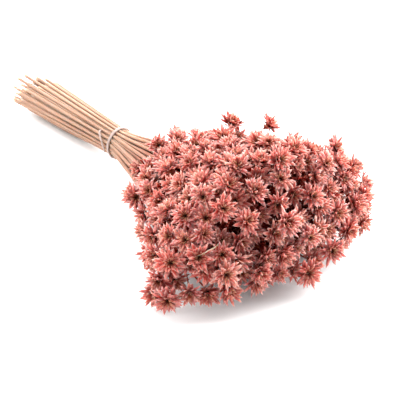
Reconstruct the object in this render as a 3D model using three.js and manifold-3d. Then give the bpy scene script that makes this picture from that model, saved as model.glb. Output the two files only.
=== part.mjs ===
// A tied bunch of dried hill flowers, dyed pink, lying on its side on a flat surface.
// Millimetres. X runs from the cut stem ends to the flower heads, Z is up, the surface is z = 0.
// Every spray is one stem with the flower at its end and its side branches, each with a flower.

import * as THREE from 'three';
import { mergeVertices } from 'three/addons/utils/BufferGeometryUtils.js';
import Module from 'manifold-3d';

const wasm = await Module();
wasm.setup();

// Stems, counted in rings around the bunch's axis at the tie
const STEM_RINGS = [1, 6, 12, 18, 20];
const RING_PITCH = 2.8;
const WAIST = RING_PITCH * (STEM_RINGS.length - 1);
const STEM_RADIUS_CUT = 1.3;
const STEM_RADIUS_TIE = 1.2;
const STEM_RADIUS_TIP = 0.8;
const STEM_TAPER_LENGTH = 200;
const BRANCH_RADIUS = 0.68;
const TWIST_PER_MM = 0.0009;

// The handle, behind the tie
const HANDLE_SHORTEST = 92;
const HANDLE_UNEVEN = 56;
const NEAR_SIDE_LONGER = 0.35;
const CUT_KEY = 91;
const HEEL_X = -80;
const LOWEST_STEMS = -0.9;
const HANDLE_SPREAD_Y = 0.08;
const HANDLE_SPREAD_Z = 0.025;
const HANDLE_SLOPE = 0.05;
const HANDLE_WANDER = 0.8;
const TIE_CLEARANCE = 7.8;
const TIE_X = 13;
const TIE_Z = TIE_CLEARANCE + WAIST;
const SURFACE_SNAP = 0.05;
const TOLERANCE = 0.005;

// The flower head, in front of the tie: nearly flat underneath, domed above and in front
const HEAD_START = 92;
const HEAD_RIM = 210;
const HEAD_DOME = 40;
const HEAD_SPREAD_Y = 0.314;
const HEAD_FLARE_Y = 0.0007;
const HEAD_SPREAD_Z = 0.2;
const HEAD_LEAN_Y = -0.03;
const STEM_SHARE = 0.78;
const STATIONS = [50, 115];
const LAST_STATION_GAP = 22;
const NECK_LENGTH = 13;
const NECK_BEND = 0.75;
const STEM_WANDER = 2;
const LINE_KEY = 99;

// Flowers
const SITE_COUNT = 216;
const FLOWER_COUNT = 208;
const FLOWER_SIZES = [0.86, 1.14];
const FLOWER_RAYS = 6;
const RAY_TIP = { r: 9, z: 3.7 };
const RAY_NOTCH = { r: 3.9, z: -0.4 };
const INNER_TIP = { r: 4.4, z: 5.6 };
const INNER_LOW = { r: 2.5, z: 1.5 };
const HEART_Z = 0.8;
const PEDICEL_Z = -5;
const PEDICEL_RADIUS = 0.7;
const DEPTHS = [4, -7];
const DEPTH_JITTER = 3;
const UNDERSIDE_THINNING = 2.6;
const CLEARANCE = 0.2;
const GROWTH_SHARE = 0.15;
const OWN_CLEARANCE = 7;
const OWN_SPACING = 1.7;
const BOX_LENGTH = 8;
const BOX_MARGIN = 1.6;
const MOST_TRIES = 700;
const CANDIDATES = [60, 80];
const FACING = { outward: 0.8, forward: 0.4, stray: 0.8, lowest: -0.1 };

// Hearts of the flowers that stand out from the rest: three on top and one low at the side
const OUTSTANDING = [[142, 18, 84], [150, 3, 80], [160, 41, 83], [203, -101, 12]];

// Branches
const FORK_SHARES = [0.34, 0.58];
const FORK_FIRST = 24;
const MOST_BRANCHES = 5;
const BRANCH_COST = 3;
const FRONT_PREFERENCE = 0.15;
const REACHES = [0, 2, -2, 4, 6];
const STEMS_TO_TRY = 14;
const BRANCH_BEND = { leave: 0.4, arrive: 0.3, aim: 0.5 };

// The string
const STRING_RADIUS = 0.65;
const STRING_SIDES = 6;
const STRING_STEPS = 52;
const STRING_FROM = 0.666;
const STRING_TIGHT_TURNS = 1.9;
const STRING_LOOSE_TURN = 0.77;
const STRING_END_TURN = 0.21;
const STRING_PITCH = 1.5;
const STRING_SLANT = 3;
const STRING_GAP = 0.8;
const STRING_LOOP_RADIUS = WAIST + STEM_RADIUS_TIE + STRING_RADIUS + STRING_GAP;
const STRING_WIDENING = { forward: 0.19, back: 0.09 };
const LOOSE_BACK = 17;
const LOOSE_FORWARD = 14.5;
const END_LIFT = 2;

const SEED = 42;

const flowerMaterial = new THREE.MeshStandardMaterial({ color: 0xd08f87, roughness: 0.85, metalness: 0 });
const stringMaterial = new THREE.MeshStandardMaterial({ color: 0xf0d3c8, roughness: 0.8, metalness: 0 });

const lerp = (a, b, t) => a + (b - a) * t;
const clamp = THREE.MathUtils.clamp;
const smooth = (t) => THREE.MathUtils.smoothstep(t, 0, 1);
const random = mulberry(SEED);

// A seeded generator of numbers from 0 to 1
function mulberry(seed) {
  let state = seed;
  return () => {
    state = (state + 0x6d2b79f5) | 0;
    let t = Math.imul(state ^ (state >>> 15), 1 | state);
    t = (t + Math.imul(t ^ (t >>> 7), 61 | t)) ^ t;
    return ((t ^ (t >>> 14)) >>> 0) / 4294967296;
  };
}

// The same number from 0 to 1 for the same pair of whole numbers, in any order of calls
function draw(a, b) {
  let h = Math.imul(a + 1, 0x9e3779b1) ^ Math.imul(b + 1, 0x85ebca6b);
  h = Math.imul(h ^ (h >>> 15), 0x2c1b3c6d);
  h = Math.imul(h ^ (h >>> 12), 0x297a2d39);
  return ((h ^ (h >>> 15)) >>> 0) / 4294967296;
}

// The flower head's cross-section at x. Its sides droop, so that it lies nearly flat underneath.
function headSection(x) {
  const along = Math.min(x, HEAD_RIM);
  const width = Math.hypot(WAIST, HEAD_SPREAD_Y * along) + HEAD_FLARE_Y * along * along;
  const height = Math.hypot(WAIST, HEAD_SPREAD_Z * along);
  return { width, height, y: HEAD_LEAN_Y * x, z: height + TIE_CLEARANCE, droop: 1 - WAIST / height };
}

// The same for the bundle of stems, inside the head and behind the tie
function stemSection(x) {
  if (x > 0) {
    const head = headSection(x);
    const width = lerp(WAIST, head.width, STEM_SHARE);
    return { ...head, width, height: lerp(WAIST, head.height, STEM_SHARE) };
  }
  const width = WAIST - HANDLE_SPREAD_Y * x;
  const height = WAIST - HANDLE_SPREAD_Z * x;
  return { width, height, y: 0, z: height + TIE_CLEARANCE + HANDLE_SLOPE * x, droop: 0 };
}

// A point of a cross-section: share is 0 at its middle and 1 at its edge
function sectionPoint(section, x, share, turn) {
  const across = share * Math.cos(turn);
  const droop = section.droop * (1 - Math.sqrt(Math.max(0, 1 - across * across)));
  const z = section.z + section.height * (share * Math.sin(turn) - droop);
  return new THREE.Vector3(x, section.y + section.width * across, z);
}

// Where each stem stands in the bundle's cross-section, as a share of its half width and height
function stemPlaces() {
  const places = [];
  STEM_RINGS.forEach((count, ring) => {
    for (let k = 0; k < count; k += 1) {
      const angle = (2 * Math.PI * k) / count;
      const share = ring / (STEM_RINGS.length - 1);
      places.push({ share, angle });
    }
  });
  return places;
}

const PLACES = stemPlaces();

function stemRadius(x) {
  if (x < 0) return lerp(STEM_RADIUS_TIE, STEM_RADIUS_CUT, clamp(x / HEEL_X, 0, 1));
  return lerp(STEM_RADIUS_TIE, STEM_RADIUS_TIP, clamp(x / STEM_TAPER_LENGTH, 0, 1));
}

// A stem's axis at x: it keeps its place in the section, which turns slowly along the bunch
function stemPoint(index, x, station) {
  const { share, angle } = PLACES[index];
  const section = stemSection(x);
  const point = sectionPoint(section, x, share, angle + TWIST_PER_MM * x);
  const wander = x < 0 ? HANDLE_WANDER : STEM_WANDER;
  point.y += (draw(index, 2 * station) - 0.5) * wander * (section.width / WAIST - 1);
  point.z += (draw(index, 2 * station + 1) - 0.5) * wander * (section.height / WAIST - 1);
  return point;
}

// A stem's stations from its cut end to the last one before its flower. The lowest lie down flat.
function stemRoute(index, lastX) {
  const { share, angle } = PLACES[index];
  const longer = lerp(draw(index, CUT_KEY), 0.5 - 0.5 * Math.cos(angle), NEAR_SIDE_LONGER);
  const cutX = -(HANDLE_SHORTEST + HANDLE_UNEVEN * longer);
  const xs = [cutX, TIE_X, ...STATIONS.filter((x) => x < lastX - LAST_STATION_GAP), lastX];
  const points = xs.map((x, station) => stemPoint(index, x, station));
  if (share * Math.sin(angle) < LOWEST_STEMS) {
    const heel = stemPoint(index, HEEL_X, 0);
    heel.z = STEM_RADIUS_CUT * Math.SQRT1_2;
    points[0].z = heel.z;
    points.splice(1, 0, heel);
  }
  return points;
}

// Corner points around a path, one ring a point, turned as little as possible along it
function ringsAlong(path, radii, sides, firstSide) {
  const rings = [];
  const side = firstSide.clone();
  path.forEach((point, k) => {
    const before = path[Math.max(k - 1, 0)];
    const after = path[Math.min(k + 1, path.length - 1)];
    const tangent = new THREE.Vector3().subVectors(after, before).normalize();
    side.addScaledVector(tangent, -side.dot(tangent)).normalize();
    const up = new THREE.Vector3().crossVectors(tangent, side);
    rings.push(circle(point, side, up, sides, () => radii[k]));
  });
  return { rings, side };
}

// Points at even angles round a centre, the first half a step past the side direction
function circle(centre, side, up, sides, radius, phase = Math.PI / sides) {
  return Array.from({ length: sides }, (_, k) => {
    const angle = phase + (2 * Math.PI * k) / sides;
    const r = radius(k);
    return centre.clone()
      .addScaledVector(side, r * Math.cos(angle))
      .addScaledVector(up, r * Math.sin(angle));
  });
}

// The flower's rings: two rows of pointed bracts round an open heart
function flowerRings(flower, side) {
  const axis = flower.axis;
  const right = side.clone().addScaledVector(axis, -side.dot(axis)).normalize();
  const up = new THREE.Vector3().crossVectors(axis, right);
  const at = (z) => flower.heart.clone().addScaledVector(axis, (z - HEART_Z) * flower.size);
  const row = (sides, first, second, phase) => {
    const both = [first, second];
    const rings = both.map(({ r, z }) => circle(at(z), right, up, sides, () => r * flower.size, phase));
    return rings[0].map((point, k) => (k % 2 ? rings[1][k] : point));
  };
  return [
    row(2 * FLOWER_RAYS, RAY_TIP, RAY_NOTCH, flower.spin),
    row(FLOWER_RAYS, INNER_TIP, INNER_LOW, flower.spin),
  ];
}

// A closed solid through a list of rings, with a flat start and a point at the end
function solidThrough(rings, apex) {
  const points = [];
  const faces = [];
  const loops = rings.map((ring) => ring.map((point) => points.push(point) - 1));
  const first = loops[0];
  for (let k = 1; k < first.length - 1; k += 1) faces.push(first[0], first[k + 1], first[k]);
  for (let k = 1; k < loops.length; k += 1) zip(faces, loops[k - 1], loops[k]);
  const last = loops[loops.length - 1];
  const tip = points.push(apex) - 1;
  last.forEach((corner, k) => faces.push(corner, last[(k + 1) % last.length], tip));
  return toManifold(points, faces);
}

// Triangles between two loops that may differ in their number of corners
function zip(faces, lower, upper) {
  let a = 0;
  let b = 0;
  while (a < lower.length || b < upper.length) {
    const lowerNext = (a + 0.5) / lower.length;
    const upperNext = (b + 0.5) / upper.length;
    const from = lower[a % lower.length];
    const to = upper[b % upper.length];
    if (b >= upper.length || (a < lower.length && lowerNext < upperNext)) {
      a += 1;
      faces.push(from, lower[a % lower.length], to);
    } else {
      b += 1;
      faces.push(from, upper[b % upper.length], to);
    }
  }
}

function toManifold(points, faces) {
  const vertProperties = new Float32Array(points.flatMap((point) => point.toArray()));
  const triVerts = new Uint32Array(faces);
  return new wasm.Manifold(new wasm.Mesh({ numProp: 3, vertProperties, triVerts, tolerance: TOLERANCE }));
}

// A stem or branch with the flower at its end. Fattened, it keeps its distance from its neighbours.
function limb({ path, radii, sides, flower }, extra = 0) {
  const points = [...path, flower.heart];
  const widths = radii.map((radius) => radius + extra);
  const { rings, side } = ringsAlong(points, [...widths, 0], sides, new THREE.Vector3(0, -1, 0));
  rings.pop();
  if (!extra) rings.slice(0, 2).flat().forEach(layFlat);
  const grown = { ...flower, size: flower.size + extra * GROWTH_SHARE };
  return solidThrough([...rings, ...flowerRings(grown, side)], grown.heart);
}

// What comes within a hair of the surface lies on it
function layFlat(point) {
  if (point.z < SURFACE_SNAP) point.z = 0;
}

// The next flower's place on the head's outline: the candidate furthest from the places taken
function nextSite(taken, candidates) {
  let best = null;
  for (let k = 0; k < candidates; k += 1) {
    const site = randomSite();
    site.room = Math.min(...taken.map((place) => spacing(site, place)), 1000);
    if (!best || site.room > best.room) best = site;
  }
  return best;
}

// The distance to a place, counted shorter on the underside, which has fewer flowers
function spacing(site, place) {
  const under = clamp(-2 * site.normal.z, 0, 1);
  return site.place.distanceTo(place) / lerp(1, UNDERSIDE_THINNING, under);
}

// Enough places for every stem's own flower and most branches, the later ones deeper in
function firstSites() {
  const sites = [];
  while (sites.length < SITE_COUNT) {
    const site = nextSite(sites.map((other) => other.place), CANDIDATES[0] + sites.length);
    site.depth = lerp(...DEPTHS, sites.length / SITE_COUNT);
    sites.push(site);
  }
  return sites;
}

function randomSite() {
  const turn = 2 * Math.PI * random();
  const along = 2 * random();
  const place = outlinePoint(along, turn);
  const lengthwise = outlinePoint(along + 0.01, turn).sub(place);
  const across = outlinePoint(along, turn + 0.01).sub(place);
  return { place, normal: across.cross(lengthwise).normalize() };
}

// The head's outline: along is 0 at its start, 1 at its rim and 2 at the front of its dome
function outlinePoint(along, turn) {
  const bend = Math.max(0, along - 1) * Math.PI / 2;
  const x = lerp(HEAD_START, HEAD_RIM, Math.min(1, along)) + HEAD_DOME * Math.sin(bend);
  const point = sectionPoint(headSection(x), x, 1, turn);
  point.y = lerp(HEAD_LEAN_Y * x, point.y, Math.cos(bend));
  point.z = lerp(TIE_Z, point.z, Math.cos(bend));
  return point;
}

// A flower at a site, a little in or out of the outline, facing outward and forward
function flowerAt(site, reach) {
  const size = lerp(...FLOWER_SIZES, random());
  const depth = site.depth + (random() - 0.5) * DEPTH_JITTER + reach;
  const heart = site.place.clone().addScaledVector(site.normal, depth);
  const stray = new THREE.Vector3(random() - 0.5, random() - 0.5, random() - 0.5);
  const axis = site.normal.clone().multiplyScalar(FACING.outward).addScaledVector(stray, FACING.stray);
  axis.x += FACING.forward;
  axis.z = Math.max(axis.z, FACING.lowest);
  axis.normalize();
  const flower = { heart, axis, size, spin: random() * Math.PI / FLOWER_RAYS };
  heart.z -= Math.min(lowest(flower), 0);
  return flower;
}

// The height of a flower's lowest bract tip
function lowest(flower) {
  const sink = Math.sqrt(Math.max(0, 1 - flower.axis.z ** 2));
  const centre = flower.heart.z + (RAY_TIP.z - HEART_Z) * flower.size * flower.axis.z;
  return centre - RAY_TIP.r * flower.size * sink;
}

// Small boxes along a limb and one round its flower, for a quick test of what may touch
function boxesOf({ path, flower }) {
  const boxes = [];
  for (let k = 1; k < path.length; k += 1) {
    const pieces = Math.ceil(path[k].distanceTo(path[k - 1]) / BOX_LENGTH);
    for (let n = 0; n < pieces; n += 1) {
      const start = path[k - 1].clone().lerp(path[k], n / pieces);
      const end = path[k - 1].clone().lerp(path[k], (n + 1) / pieces);
      boxes.push(new THREE.Box3().setFromPoints([start, end]).expandByScalar(BOX_MARGIN));
    }
  }
  const reach = (RAY_TIP.r + BOX_MARGIN) * flower.size;
  boxes.push(new THREE.Box3(flower.heart.clone(), flower.heart.clone()).expandByScalar(reach));
  return boxes;
}

const mayTouch = (some, others) => some.some((box) => others.some((other) => box.intersectsBox(other)));

function overlaps(a, b) {
  const common = a.intersect(b);
  const volume = common.volume();
  common.delete();
  return volume > 0;
}

// Limbs that are already placed, each with its spray's number
const placed = [];

// Two limbs of one spray may cross at their forks, but each keeps clear of the other's flower
function crowdsOwn(one, other) {
  return one.flower.heart.distanceTo(other.flower.heart) < OWN_SPACING * RAY_TIP.r * one.flower.size
    || toPath(other.flower.heart, one.path) < OWN_CLEARANCE
    || toPath(one.flower.heart, other.path) < OWN_CLEARANCE;
}

function tryLimb(shape) {
  const fat = limb(shape, CLEARANCE);
  const boxes = boxesOf(shape);
  const clash = placed.some((other) => {
    if (other.flower.heart.distanceTo(shape.flower.heart) < RAY_TIP.r * shape.flower.size) return true;
    if (other.spray === shape.spray) return crowdsOwn(shape, other);
    return mayTouch(boxes, other.boxes) && overlaps(fat, other.solid);
  });
  fat.delete();
  if (!clash) placed.push({ ...shape, boxes, solid: limb(shape) });
  return !clash;
}

// The distance from a point to the nearest stretch of a path
function toPath(point, path) {
  const nearest = new THREE.Vector3();
  return Math.min(...path.slice(1).map((end, k) => {
    new THREE.Line3(path[k], end).closestPointToPoint(point, true, nearest);
    return nearest.distanceTo(point);
  }));
}

// Where the flower sits on its stalk
function baseOf(flower) {
  return flower.heart.clone().addScaledVector(flower.axis, (PEDICEL_Z - HEART_Z) * flower.size);
}

// The stem's own end: it bends from its last station to the flower
function tryStem(index, site, reach) {
  const flower = flowerAt(site, reach);
  const base = baseOf(flower);
  const neck = base.clone().addScaledVector(flower.axis, -NECK_LENGTH);
  const path = stemRoute(index, base.x - NECK_LENGTH);
  path[path.length - 1].lerp(neck, NECK_BEND);
  const radii = [...path.map((point) => stemRadius(point.x)), PEDICEL_RADIUS];
  return tryLimb({ spray: index, path: [...path, base], radii, sides: 4, flower });
}

// A side branch leaves the stem well behind its flower and curves out to it
function tryBranch(index, site, reach) {
  const stem = placed[index].path;
  const flower = flowerAt(site, reach);
  const share = lerp(...FORK_SHARES, THREE.MathUtils.inverseLerp(...FLOWER_SIZES, flower.size));
  const forkX = Math.max(FORK_FIRST, share * flower.heart.x);
  if (forkX > stem[stem.length - 1].x - NECK_LENGTH) return false;
  const base = baseOf(flower);
  const { point, direction } = alongStem(stem, forkX);
  const length = point.distanceTo(base);
  const aim = base.clone().sub(point).normalize();
  const leave = direction.clone().lerp(aim, BRANCH_BEND.aim).normalize();
  const first = point.clone().addScaledVector(leave, BRANCH_BEND.leave * length);
  const second = base.clone().addScaledVector(flower.axis, -BRANCH_BEND.arrive * length);
  const curve = new THREE.CubicBezierCurve3(point, first, second, base);
  const path = [0, 0.5, 1].map((t) => curve.getPoint(t));
  const radii = [BRANCH_RADIUS, BRANCH_RADIUS, PEDICEL_RADIUS];
  return tryLimb({ spray: index, path, radii, sides: 3, flower });
}

function alongStem(stem, x) {
  const k = stem.findIndex((point) => point.x > x);
  const t = (x - stem[k - 1].x) / (stem[k].x - stem[k - 1].x);
  const direction = new THREE.Vector3().subVectors(stem[k], stem[k - 1]).normalize();
  return { point: stem[k - 1].clone().lerp(stem[k], t), direction };
}

// How far a site lies from a stem's own line, across the bunch
function offLine(index, site) {
  return stemPoint(index, site.place.x, LINE_KEY).distanceTo(site.place);
}

// Every stem gets the free place nearest to its line, the front ones first
function growStems(sites) {
  PLACES.forEach((_, index) => {
    const cost = (site) => offLine(index, site) + FRONT_PREFERENCE * (HEAD_RIM - site.place.x);
    const nearest = [...sites].sort((a, b) => cost(a) - cost(b));
    const found = nearest.find((site) => REACHES.some((reach) => tryStem(index, site, reach)));
    if (!found) throw new Error(`no flower for stem ${index}`);
    sites.splice(sites.indexOf(found), 1);
  });
}

// A branch to a site from the nearest stem that has room for it and few branches
function growBranch(site) {
  const stems = PLACES.map((_, index) => {
    const branches = placed.filter((other) => other.spray === index).length - 1;
    return { index, branches, cost: offLine(index, site) + BRANCH_COST * branches };
  });
  const near = stems.filter(({ branches }) => branches < MOST_BRANCHES)
    .sort((a, b) => a.cost - b.cost)
    .slice(0, STEMS_TO_TRY);
  return REACHES.some((reach) => near.some(({ index }) => tryBranch(index, site, reach)));
}

// A place outside the outline, facing away from the middle of the head there
function outstandingSite([x, y, z]) {
  const middle = new THREE.Vector3(x, HEAD_LEAN_Y * x, headSection(x).z);
  const place = new THREE.Vector3(x, y, z);
  return { place, normal: place.clone().sub(middle).normalize(), depth: 0 };
}

// After the first places come new ones in the gaps, until the bunch has all its flowers
function growBunch() {
  const sites = firstSites();
  growStems(sites);
  OUTSTANDING.map(outstandingSite).forEach((site) => {
    if (!growBranch(site)) throw new Error('an outstanding flower has no stem');
  });
  const failed = sites.filter((site) => !growBranch(site)).map((site) => site.place);
  for (let n = 0; n < MOST_TRIES && placed.length < FLOWER_COUNT; n += 1) {
    const site = nextSite([...placed.map((other) => other.flower.heart), ...failed], CANDIDATES[1]);
    site.depth = lerp(...DEPTHS, random());
    if (!growBranch(site)) failed.push(site.place);
  }
}

function toMesh(solid, name, material) {
  const mesh = solid.getMesh();
  const geometry = new THREE.BufferGeometry();
  geometry.setAttribute('position', new THREE.BufferAttribute(mesh.vertProperties, 3));
  geometry.setIndex(new THREE.BufferAttribute(mesh.triVerts, 1));
  const object = new THREE.Mesh(geometry, material);
  object.name = name;
  return object;
}

function spray(index) {
  const limbs = placed.filter((other) => other.spray === index);
  const solid = limbs.slice(1).reduce((whole, branch) => whole.add(branch.solid), limbs[0].solid);
  return toMesh(solid, `spray_${String(index).padStart(2, '0')}`, flowerMaterial);
}

// The string's path: tight turns round the stems, a loose one behind them, and its end down the side
class StringPath extends THREE.Curve {
  getPoint(t) {
    const turn = t * (STRING_TIGHT_TURNS + STRING_LOOSE_TURN + STRING_END_TURN);
    const tight = Math.min(turn, STRING_TIGHT_TURNS) - STRING_TIGHT_TURNS / 2;
    const loose = smooth((turn - STRING_TIGHT_TURNS) / STRING_LOOSE_TURN);
    const end = smooth((turn - STRING_TIGHT_TURNS - STRING_LOOSE_TURN) / STRING_END_TURN);
    const angle = 2 * Math.PI * (turn + STRING_FROM);
    const slant = STRING_SLANT * Math.cos(angle);
    const x = TIE_X - STRING_PITCH * tight - slant - LOOSE_BACK * loose + LOOSE_FORWARD * end;
    const widening = x > TIE_X ? STRING_WIDENING.forward : STRING_WIDENING.back;
    const wider = widening * Math.abs(x - TIE_X);
    const radius = STRING_LOOP_RADIUS + wider + END_LIFT * end * end;
    const { y, z } = stemSection(TIE_X);
    return new THREE.Vector3(x, y + radius * Math.cos(angle), z + radius * Math.sin(angle));
  }
}

function tie() {
  const section = new THREE.Shape();
  for (let k = 0; k < STRING_SIDES; k += 1) {
    const angle = (2 * Math.PI * k) / STRING_SIDES;
    const point = [STRING_RADIUS * Math.cos(angle), STRING_RADIUS * Math.sin(angle)];
    if (k) section.lineTo(...point);
    else section.moveTo(...point);
  }
  section.closePath();
  const options = { steps: STRING_STEPS, extrudePath: new StringPath() };
  const extruded = new THREE.ExtrudeGeometry(section, options);
  extruded.deleteAttribute('normal');
  extruded.deleteAttribute('uv');
  const mesh = new THREE.Mesh(mergeVertices(extruded), stringMaterial);
  mesh.name = 'tie';
  return mesh;
}

growBunch();
const bunch = new THREE.Group();
PLACES.forEach((_, index) => bunch.add(spray(index)));
bunch.add(tie());

// The origin goes under the middle of the bunch's box
const box = new THREE.Box3().setFromObject(bunch);
bunch.position.set(-(box.min.x + box.max.x) / 2, -(box.min.y + box.max.y) / 2, -box.min.z);

export default bunch;
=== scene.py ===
# A tied bunch of dried hill flowers, dyed pink, lying on a white surface.
# Lengths are in millimetres in the bunch's own frame, whose X starts near the string, and become
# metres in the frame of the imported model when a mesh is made.

import math

import bpy
import numpy as np
from mathutils import Matrix, Vector


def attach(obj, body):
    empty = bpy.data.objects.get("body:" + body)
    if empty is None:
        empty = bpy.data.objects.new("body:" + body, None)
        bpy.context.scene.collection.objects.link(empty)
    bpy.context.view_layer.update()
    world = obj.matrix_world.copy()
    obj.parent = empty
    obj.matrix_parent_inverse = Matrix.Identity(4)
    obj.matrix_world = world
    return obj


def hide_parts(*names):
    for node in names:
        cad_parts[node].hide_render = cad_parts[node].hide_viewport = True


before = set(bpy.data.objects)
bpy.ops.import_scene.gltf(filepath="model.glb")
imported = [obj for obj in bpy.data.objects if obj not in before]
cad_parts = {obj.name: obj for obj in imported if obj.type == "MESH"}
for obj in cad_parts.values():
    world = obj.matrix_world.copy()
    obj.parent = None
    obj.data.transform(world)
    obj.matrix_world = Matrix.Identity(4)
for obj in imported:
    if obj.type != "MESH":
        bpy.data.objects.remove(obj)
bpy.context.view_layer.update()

MM = 0.001
SEED = 7
rng = np.random.default_rng(SEED)

# Stems, counted in rings round the bunch's axis at the tie. These values, and the next ones down to
# the branches, are the same as in the solids.
STEM_RINGS = [1, 6, 12, 18, 20]
WAIST = 11.2
STEM_RADIUS_CUT = 1.3
STEM_TAPER_LENGTH = 200
TWIST_PER_MM = 0.0009

# The handle, behind the tie
HANDLE_SHORTEST = 92
HANDLE_UNEVEN = 56
NEAR_SIDE_LONGER = 0.35
CUT_KEY = 91
HEEL_X = -80
LOWEST_STEMS = -0.9
HANDLE_SPREAD_Y = 0.08
HANDLE_SPREAD_Z = 0.025
HANDLE_SLOPE = 0.05
HANDLE_WANDER = 0.8
TIE_CLEARANCE = 7.8
TIE_X = 13

# The flower head, in front of the tie
HEAD_RIM = 210
HEAD_SPREAD_Y = 0.314
HEAD_FLARE_Y = 0.0007
HEAD_SPREAD_Z = 0.2
HEAD_LEAN_Y = -0.03
STEM_SHARE = 0.78
STATIONS = [50, 115]
LAST_STATION_GAP = 22
NECK_LENGTH = 13
NECK_BEND = 0.75
STEM_WANDER = 2

# Blooms, whose inner rays' tips and low points are measured from the heart, and branches
FLOWER_SIZES = (0.86, 1.14)
HEART_TO_BASE = 5.8
INNER_TIP = (4.4, 4.8)
INNER_LOW = (2.5, 0.7)
FORK_SHARES = (0.34, 0.58)
FORK_FIRST = 24
BRANCH_BEND = {"leave": 0.4, "arrive": 0.3, "aim": 0.5}

# How blooms, their stalks and a stem's cut end are told apart among a solid's points
INNER_RAYS = 3
SIZE_LIMITS = (0.8, 1.2)
RAY_MISMATCH = 0.03
STALK_REACH = 0.8
CUT_CORNERS = 4

# Points that would lie lower than the softening height are pressed together above the floor gap
FLOOR_SOFTENING = 1.0
FLOOR_GAP = 0.12

# Radii of the round stems at the heel, the string, the fan and the tip, and of thinner pieces
STEM_RADII = (1.5, 1.25, 1.45, 0.72)
EXTRA_RADII = (1.35, 0.62, 1.1, 0.45)
FAN_X = 60
BRANCH_RADIUS = 0.5
BRANCH_TAPER = {"start": 1.25, "loss": 0.3}
STALK_RADIUS = 0.6
STALK_POINTS = 3
STALK_BLEND = 0.7
TWIG_RADIUS = 0.42
STEM_SIDES = 8
BRANCH_SIDES = 6
TWIG_SIDES = 5

# Soft ridges along stems, waves in their thickness, shifted by each stem's tint, and the length of
# stem along which the place of the fibres grows by one
RIDGES = {"count": 3, "depth": 0.05, "shift": 9}
STEM_WAVES = {"length": 9, "depth": 0.05}
BRANCH_WAVES = {"count": 20, "depth": 0.06}
WAVE_SHIFT = 6
GRAIN_LENGTH = 100

# How far apart a path's points are, and how long a stem runs straight behind the string
STEM_STEP = 5
EXTRA_STEP = 7
BRANCH_STEP = 4.5
BRANCH_POINTS = 8
TWIG_POINTS = 6
TIE_STRAIGHT = 12

# Where the dye starts on the stems and how soon it is full, how it rises over their last points, as
# its start, its end and how many points, and how long their pale cut is
DYE_FROM = 20
DYE_LENGTH = 190
EXTRA_DYE_LENGTH = 120
STALK_DYE = (0.3, 1, 8)
CUT_LENGTH = 4

# Extra stems between the rings of the solids' stems: how many there are at each place, given in
# rings, how far they reach, where they pass, how much less uneven their cuts are, and how they stray.
# Each may end in a deep bloom with a short stalk, which may lie a little closer to others.
EXTRA_STEMS = {1.5: 8, 2.5: 13, 3.5: 17, 3.85: 20}
EXTRA_REACH = (120, 185)
EXTRA_STATIONS = (-45, 2, TIE_X, 32, 90)
EXTRA_SHORTER = 6
EXTRA_WANDER = 2
EXTRA_ANGLE = 0.15
EXTRA_STALK = 3
EXTRA_CLOSER = 2

# Smaller blooms deeper in the head: how far behind a bloom their twigs start, how far along and
# aside from there they lie, how they lean, how much room they need and how many tries each has
DEEP_SIZES = (0.72, 0.92)
DEEP_START = (17, 60)
DEEP_LENGTH = (9, 15)
DEEP_ASIDE = (5, 12)
DEEP_LEAN = 0.5
DEEP_STRAY = 0.25
DEEP_APART = 8.0
DEEP_TRIES = 60
DEEP_LOWEST = 7.5
DEEP_BETWEEN = (92, 236)
DEEP_SHARE = 0.82
DEEP_EACH = 3

# A pale bare twig that lies on the blooms of one spray
BARE_TWIG_SPRAY = 29
BARE_TWIG_TAPER = {"start": 1.1, "loss": 0.5}
BARE_TWIG_STEP = 1.5
BARE_TWIG = [(229.1, -65.6, 52.8), (235.5, -72.6, 56.9), (237.5, -76.8, 57.7),
             (237.2, -81.2, 57.4), (236.0, -84.9, 55.4), (233.9, -87.0, 54.1),
             (231.2, -87.9, 51.0), (225.5, -84.3, 43.2)]

# Rows of bracts from the outside in: how many, where they start, how long, how wide, how far they
# rise at their start and at their tip, in degrees, and how much of the inner colour they have
BRACT_ROWS = [
    {"count": 14, "start": (1.7, -1.3), "length": 9.3, "width": 3.1, "rise": (2, 22), "shade": 0.0},
    {"count": 14, "start": (1.6, -0.6), "length": 8.6, "width": 2.9, "rise": (20, 40), "shade": 0.0},
    {"count": 12, "start": (1.3, 0.0), "length": 7.0, "width": 2.3, "rise": (40, 58), "shade": 0.28},
    {"count": 9, "start": (1.2, 0.3), "length": 4.9, "width": 1.15, "rise": (50, 68), "shade": 1.0},
]
DEEP_ROWS = [
    {"count": 11, "start": (1.7, -1.0), "length": 8.8, "width": 3.3, "rise": (14, 34), "shade": 0.1},
    {"count": 9, "start": (1.6, -0.2), "length": 7.0, "width": 2.7, "rise": (40, 58), "shade": 0.3},
]
CALYX = {"count": 6, "start": (0.9, -4.6), "length": 4.8, "width": 2.1, "rise": (52, 20), "shade": 1.0}
CALYX_RAGGED = 0.6
SCALE_LEAF = {"count": 1, "start": (0.5, 0), "width": 1.1, "rise": (78, 58), "shade": 1.0}
SCALE_LEAF_LENGTHS = {"fork": 3.4, "branch": 2.6}
SCALE_LEAF_PLACES = (0.55, 0.78, 0.92)
SCALE_LEAF_OUT = 1.5
SCALE_LEAF_STRAY = 0.2

# One bract: its width and thickness at four stations, of which the last is its tip, and how it cups.
# Each station but the tip has a left edge, an underside, a right edge and an upper side.
BRACT_STATIONS = np.array([0, 0.36, 0.72, 1])
BRACT_WIDTHS = np.array([0.45, 1, 0.74, 0])
BRACT_THICKNESS = 0.16 * np.array([1, 1, 0.8, 0])
BRACT_ACROSS = (-1, 0, 1, 0)
BRACT_CUP = 0.24
RUFFLE = 0.34

# How uneven bracts are: shares of length and width, degrees of rise at the start and the tip, bend
# to the side, twist in radians, share of the space between two of them, and tint
UNEVEN = {"length": 0.22, "width": 0.22, "start": 11, "end": 30, "bend": 1.5, "twist": 0.8,
          "place": 0.28, "tint": 0.22}
ANY_TURN = (0, 6.3)

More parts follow.
